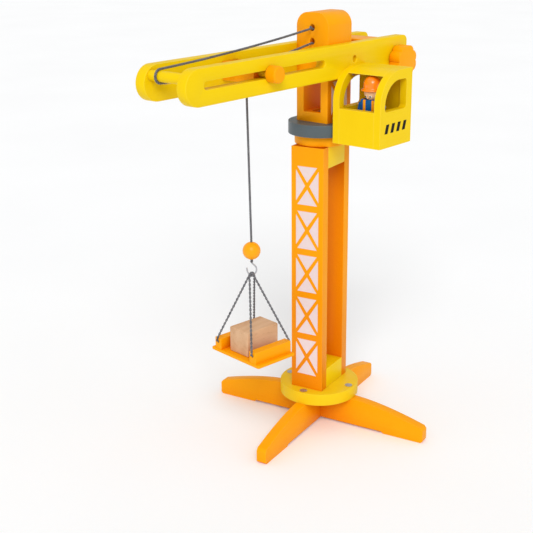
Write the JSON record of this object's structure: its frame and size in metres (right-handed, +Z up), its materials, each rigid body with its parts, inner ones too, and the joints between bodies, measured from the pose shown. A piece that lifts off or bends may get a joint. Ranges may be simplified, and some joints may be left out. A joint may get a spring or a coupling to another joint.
{
  "type": "toy tower crane",
  "caption": "Wooden toy tower crane: slewing slotted jib, crank-driven trolley, hoist line with ball and wire hook, slung platform with a block, and a cab with a driver.",
  "frame": {"origin": "on the floor under the slewing axis", "axes": "+Z up along the slewing axis; the jib points along -X at rest; the cab hangs on the -Y side"},
  "size_m": [0.3247, 0.2324, 0.4095],
  "materials": {
    "orange_wood": "satin lacquer",
    "yellow_wood": "satin lacquer",
    "grey_wood": "satin lacquer",
    "beech": "bare, sanded",
    "steel": "zinc plated",
    "cord": "twisted cord",
    "blue_wood": "satin lacquer",
    "skin_wood": "satin lacquer"
  },
  "bodies": {
    "base": {"cross_foot_long": "orange_wood", "cross_foot_cross": "orange_wood", "base_disc": "yellow_wood", "base_screws": "steel", "tower_board_front": "orange_wood", "tower_board_back": "orange_wood", "tower_block_bottom": "yellow_wood", "tower_block_top": "yellow_wood", "tower_dowels": "beech", "collar_disc": "orange_wood", "slew_bolt": "steel", "slew_washer": "steel", "slew_nut": "steel"},
    "upper": {"turntable_disc": "grey_wood", "turntable_screws": "steel", "head_block": "orange_wood", "jib_board_near": "yellow_wood", "jib_board_far": "yellow_wood", "jib_pins": "yellow_wood", "tip_dowel": "yellow_wood", "counterweight_block": "orange_wood", "drawcord_upper": "cord", "drawcord_turn": "cord", "drawcord_rear_upper": "cord", "drawcord_rear_lower": "cord", "drawcord_return": "cord", "drawcord_inner": "cord", "cab_inner_plate": "yellow_wood", "cab_outer_plate": "yellow_wood", "cab_front_panel": "yellow_wood", "cab_back_panel": "yellow_wood", "cab_roof": "yellow_wood", "cab_floor": "yellow_wood", "cab_screws": "steel", "driver_body": "blue_wood", "driver_head": "skin_wood", "driver_helmet": "orange_wood", "driver_pin": "beech"},
    "arm_left": {"driver_arm_left": "blue_wood"},
    "arm_right": {"driver_arm_right": "blue_wood"},
    "winch": {"winch_axle": "yellow_wood", "winch_drum": "orange_wood", "crank_knob": "orange_wood", "winch_end_cap": "orange_wood", "drawcord_windings": "cord"},
    "trolley": {"trolley_carriage": "orange_wood", "drawcord_knots": "cord"},
    "hoist_drum": {"trolley_axle": "yellow_wood", "trolley_knob_near": "orange_wood", "trolley_knob_far": "orange_wood", "hoist_windings": "cord"},
    "hook": {"hoist_cord": "cord", "hook_ball": "orange_wood", "hook_knot": "cord"},
    "load": {"hook_wire": "steel", "sling_ropes": "cord", "platform_plate": "orange_wood", "platform_rail_near": "orange_wood", "platform_rail_far": "orange_wood"},
    "block": {"load_block": "beech"}
  },
  "joints": [
    {"name": "slew", "type": "hinge", "parent": "base", "child": "upper", "pos_m": [0, 0, 0.298], "axis": [0, 0, 1], "continuous": true},
    {"name": "trolley_travel", "type": "slide", "parent": "upper", "child": "trolley", "axis": [1, 0, 0], "range_m": [-0.074, 0.029], "deforming": ["drawcord_return", "drawcord_inner"]},
    {"name": "winch_turn", "type": "hinge", "parent": "upper", "child": "winch", "pos_m": [0.0845, 0, 0.358], "axis": [0, 1, 0], "range_deg": [-236, 599]},
    {"name": "hoist_travel", "type": "slide", "parent": "trolley", "child": "hook", "axis": [0, 0, 1], "range_m": [-0.06, 0.125], "deforming": ["hoist_cord"]},
    {"name": "hoist_turn", "type": "hinge", "parent": "trolley", "child": "hoist_drum", "pos_m": [-0.107, 0, 0.3675], "axis": [0, 1, 0], "range_deg": [-1576, 757]},
    {"name": "load_swivel", "type": "hinge", "parent": "hook", "child": "load", "pos_m": [-0.10245, 0, 0.195], "axis": [0, 0, 1], "continuous": true},
    {"name": "block_lift", "type": "slide", "parent": "load", "child": "block", "axis": [0, 0, 1], "range_m": [0, 0.008]},
    {"name": "arm_left_swing", "type": "hinge", "parent": "upper", "child": "arm_left", "pos_m": [-0.0005, -0.058, 0.329], "axis": [0, 1, 0], "range_deg": [-40, 35]},
    {"name": "arm_right_swing", "type": "hinge", "parent": "upper", "child": "arm_right", "pos_m": [-0.0005, -0.058, 0.329], "axis": [0, 1, 0], "range_deg": [-40, 35]}
  ],
  "couplings": [
    {"joint": "winch_turn", "follows": "trolley_travel", "rad_per_m": -140.85},
    {"joint": "hoist_turn", "follows": "hoist_travel", "rad_per_m": -219.78}
  ]
}
